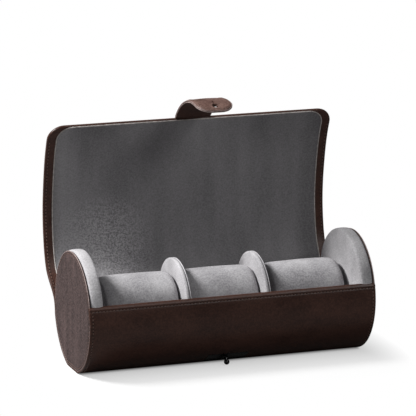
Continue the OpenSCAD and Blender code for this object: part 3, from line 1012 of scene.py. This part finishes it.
def tab_path(line, rise):
    """A path of (x, s) points above the tab's outer face."""
    path = []
    for x, s in line:
        p, n = tab_line.place(s)
        path.append((np.array(at(x, p - rise * n)), np.array([0, *(-n)])))
    return path


def button_hole(piece):
    """Cuts the button hole, with its slit towards the fold, through a layer of the tab."""
    p, n = tab_line.place(HOLE_AT)
    along = np.array([n[1], -n[0]])
    meet = math.asin(SLIT_W / 2 / HOLE_R)
    turns = np.linspace(meet - math.pi / 2, 1.5 * math.pi - meet, 24)
    ring = [(HOLE_R * math.cos(a), HOLE_R * math.sin(a)) for a in turns]
    ring += [(-SLIT_W / 2, -HOLE_R - SLIT_LEN), (SLIT_W / 2, -HOLE_R - SLIT_LEN)]
    reach = 4 * MM
    points = [at(x, p + run * along + deep * n) for deep in (-reach, reach) for x, run in ring]
    count = len(ring)
    faces = [tuple(range(count))[::-1], tuple(range(count, 2 * count))]
    faces += [(k, (k + 1) % count, count + (k + 1) % count, count + k) for k in range(count)]
    cutter = new_mesh("cutter", points, faces, piece.data.materials[0])
    cut = piece.modifiers.new("hole", "BOOLEAN")
    cut.operation = "DIFFERENCE"
    cut.solver = "EXACT"
    cut.object = cutter
    seen = piece.evaluated_get(bpy.context.evaluated_depsgraph_get())
    piece.data = bpy.data.meshes.new_from_object(seen)
    piece.modifiers.clear()
    bpy.data.objects.remove(cutter)
    piece.data.set_sharp_from_angle(angle=SHARP)


def tab():
    """The tab: its leather, the layer under it, their cut edges and the seam round both."""
    start = 1.2 * MM
    # The top layer is a little smaller than the one under it
    narrower = 0.4 * MM
    points, faces = slab(
        tab_line, start, TAB_LEN - narrower, TAB_LEN - narrower, TAB_HALF - narrower, TAB_LEATHER_T,
        -TAB_LEATHER_T, 0.5 * MM, TAB_CORNER_R, 24, crown=0.7 * MM,
    )
    # The top layer takes the lighter copy of the calf: painted light for its lit top face
    skin = new_mesh("tab_skin", points, faces, tab_leather)
    button_hole(skin)
    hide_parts("tab_leather")
    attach(skin, "tab")
    points, faces = slab(
        tab_line, start, TAB_LEN, TAB_LEN, TAB_HALF, TAB_LINING_T, 0, 0.35 * MM, TAB_CORNER_R, 16,
    )
    under = new_mesh("tab_under", points, faces, brown_leather)
    button_hole(under)
    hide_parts("tab_lining")
    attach(under, "tab")
    # The cut edges of the two layers catch the light, with a dark seam between them
    line, _ = outline(TAB_HALF, TAB_LEN, TAB_CORNER_R, start, TAB_LEN, 0.8 * MM)
    edges = [tube(tab_path(line, rise), 0.32 * MM) for rise in (-0.55 * MM, 0.55 * MM)]
    points, faces = merged(edges)
    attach(new_mesh("tab_edge", points, faces, raw_edge), "tab")
    sewn_end = TAB_LEN - SEWN
    line, _ = outline(TAB_HALF - SEWN, sewn_end, TAB_CORNER_R - SEWN, 4 * MM, sewn_end, 0.5 * MM)
    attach(sewing("tab_stitches", [tab_path(line, TAB_LEATHER_T + 0.2 * MM)]), "tab")


tab()


# ---- Finishes of the solids that stay ----

finishes = {
    "body_board": board, "body_lining": pillow_suede, "stud_plate": black_metal, "stud": black_metal,
    "stud_nut": black_metal, "tab_fold": brown_leather,
}
for node, material in finishes.items():
    mesh = frame["nodes"][node].data
    mesh.materials.clear()
    mesh.materials.append(material)


# ---- Studio ----

# Where the camera stands round the case, how far off, and what it looks at
CAMERA_AZ, CAMERA_EL = math.radians(-19.5), math.radians(12.66)
CAMERA_FAR = 2.375
LENS = 265.3
AIM = Vector((-5.46 * MM, 0, AXIS_Z + 73.56 * MM))


def camera():
    """The photograph's view, from far off through a long lens."""
    data = bpy.data.cameras.new("camera")
    data.lens = LENS
    data.sensor_width = 36
    data.clip_end = 20
    eye = bpy.data.objects.new("camera", data)
    bpy.context.scene.collection.objects.link(eye)
    back = Vector((
        math.sin(CAMERA_AZ) * math.cos(CAMERA_EL),
        -math.cos(CAMERA_AZ) * math.cos(CAMERA_EL),
        math.sin(CAMERA_EL),
    ))
    eye.location = AIM + CAMERA_FAR * back
    eye.rotation_mode = "QUATERNION"
    eye.rotation_quaternion = (-back).to_track_quat("-Z", "Y")
    bpy.context.scene.camera = eye


def lamp(name, place, target, size, watts):
    """A soft box at a place, turned to a target."""
    data = bpy.data.lights.new(name, "AREA")
    data.shape = "RECTANGLE"
    data.size, data.size_y = size
    data.energy = watts
    light = bpy.data.objects.new(name, data)
    bpy.context.scene.collection.objects.link(light)
    light.location = place
    light.rotation_mode = "QUATERNION"
    light.rotation_quaternion = (Vector(place) - Vector(target)).to_track_quat("Z", "Y")


WORLD_LIGHT = 0.06
FLOOR_SIZE = 8
FLOOR_SEEN, FLOOR_BOUNCE = "#f6f6f6", "#777777"
# About half the length and half the width of the flat that the roll stands on
STANDING = (0.114, 0.012, 0)


def studio():
    """A white room seen by the camera, a pale floor that fades into it, and three soft boxes."""
    world = bpy.data.worlds.new("studio")
    bpy.context.scene.world = world
    world.use_nodes = True
    tree = world.node_tree
    tree.nodes.clear()
    out = tree.nodes.new("ShaderNodeOutputWorld")
    seen = add(tree, "ShaderNodeBackground", {"Color": colour("#ffffff"), "Strength": 1.0})
    light = add(tree, "ShaderNodeBackground", {"Color": colour("#f4f6fa"), "Strength": WORLD_LIGHT})
    path = tree.nodes.new("ShaderNodeLightPath")
    either = add(tree, "ShaderNodeMath", {"operation": "MAXIMUM"})
    tree.links.new(path.outputs["Is Camera Ray"], either.inputs[0])
    tree.links.new(path.outputs["Is Transmission Ray"], either.inputs[1])
    mix = tree.nodes.new("ShaderNodeMixShader")
    tree.links.new(either.outputs["Value"], mix.inputs["Fac"])
    tree.links.new(light.outputs["Background"], mix.inputs[1])
    tree.links.new(seen.outputs["Background"], mix.inputs[2])
    tree.links.new(mix.outputs["Shader"], out.inputs["Surface"])
    bpy.ops.mesh.primitive_plane_add(size=FLOOR_SIZE, location=(0, 0, 0))
    floor = bpy.context.object
    floor.name = "floor"
    material, tree, shader, place = new_material("pale_paper")
    # Paper seen by the camera is white; what it throws back onto the case is greyer
    paper = tree.nodes.new("ShaderNodeLightPath")
    tone = add(tree, "ShaderNodeMix", {"data_type": "RGBA"})
    tone.inputs[6].default_value = colour(FLOOR_BOUNCE)
    tone.inputs[7].default_value = colour(FLOOR_SEEN)
    tree.links.new(paper.outputs["Is Camera Ray"], tone.inputs[0])
    tree.links.new(tone.outputs[2], shader.inputs["Base Color"])
    shader.inputs["Roughness"].default_value = 0.5
    # How far a place is from where the roll stands; the shading goes over into white with it
    off = add(tree, "ShaderNodeVectorMath", {"operation": "ABSOLUTE"}, Vector=place)
    past = add(tree, "ShaderNodeVectorMath", {"operation": "SUBTRACT", 1: STANDING})
    tree.links.new(off.outputs["Vector"], past.inputs[0])
    beyond = add(tree, "ShaderNodeVectorMath", {"operation": "MAXIMUM", 1: (0, 0, 0)})
    tree.links.new(past.outputs["Vector"], beyond.inputs[0])
    wide = add(tree, "ShaderNodeMapping", {"Scale": (2.5, 1, 1)}, Vector=beyond.outputs["Vector"])
    far = add(tree, "ShaderNodeVectorMath", {"operation": "LENGTH"}, Vector=wide.outputs["Vector"])
    tenths = add(tree, "ShaderNodeMath", {"operation": "MULTIPLY", 1: 10}, Value=far.outputs["Value"])
    fade = add(tree, "ShaderNodeValToRGB", Fac=tenths.outputs["Value"])
    fade.color_ramp.elements[0].color = (0.05, 0.05, 0.05, 1)
    fade.color_ramp.elements[1].position = 0.85
    for stop, white_share in ((0.07, 0.5), (0.3, 0.66)):
        fade.color_ramp.elements.new(stop).color = (white_share, white_share, white_share, 1)
    both = add(tree, "ShaderNodeMath", {"operation": "MULTIPLY"})
    tree.links.new(fade.outputs["Color"], both.inputs[0])
    tree.links.new(paper.outputs["Is Camera Ray"], both.inputs[1])
    white = add(tree, "ShaderNodeEmission", {"Color": colour("#ffffff"), "Strength": 1.0})
    cover = tree.nodes.new("ShaderNodeMixShader")
    tree.links.new(both.outputs["Value"], cover.inputs["Fac"])
    tree.links.new(shader.outputs["BSDF"], cover.inputs[1])
    tree.links.new(white.outputs["Emission"], cover.inputs[2])
    out = next(node for node in tree.nodes if node.type == "OUTPUT_MATERIAL")
    tree.links.new(cover.outputs["Shader"], out.inputs["Surface"])
    floor.data.materials.append(material)
    lamp("key", (-1.05, 0.28, 1.15), (0, 0, 0.06), (0.4, 0.4), 36)
    lamp("left", (-1.25, -0.95, 0.8), (0, 0, 0.08), (0.6, 0.5), 1.6)
    lamp("front", (0.65, -1.25, 1.2), (0, 0, 0.06), (0.7, 0.4), 7)


camera()
studio()
bpy.context.scene.view_settings.view_transform = "Standard"
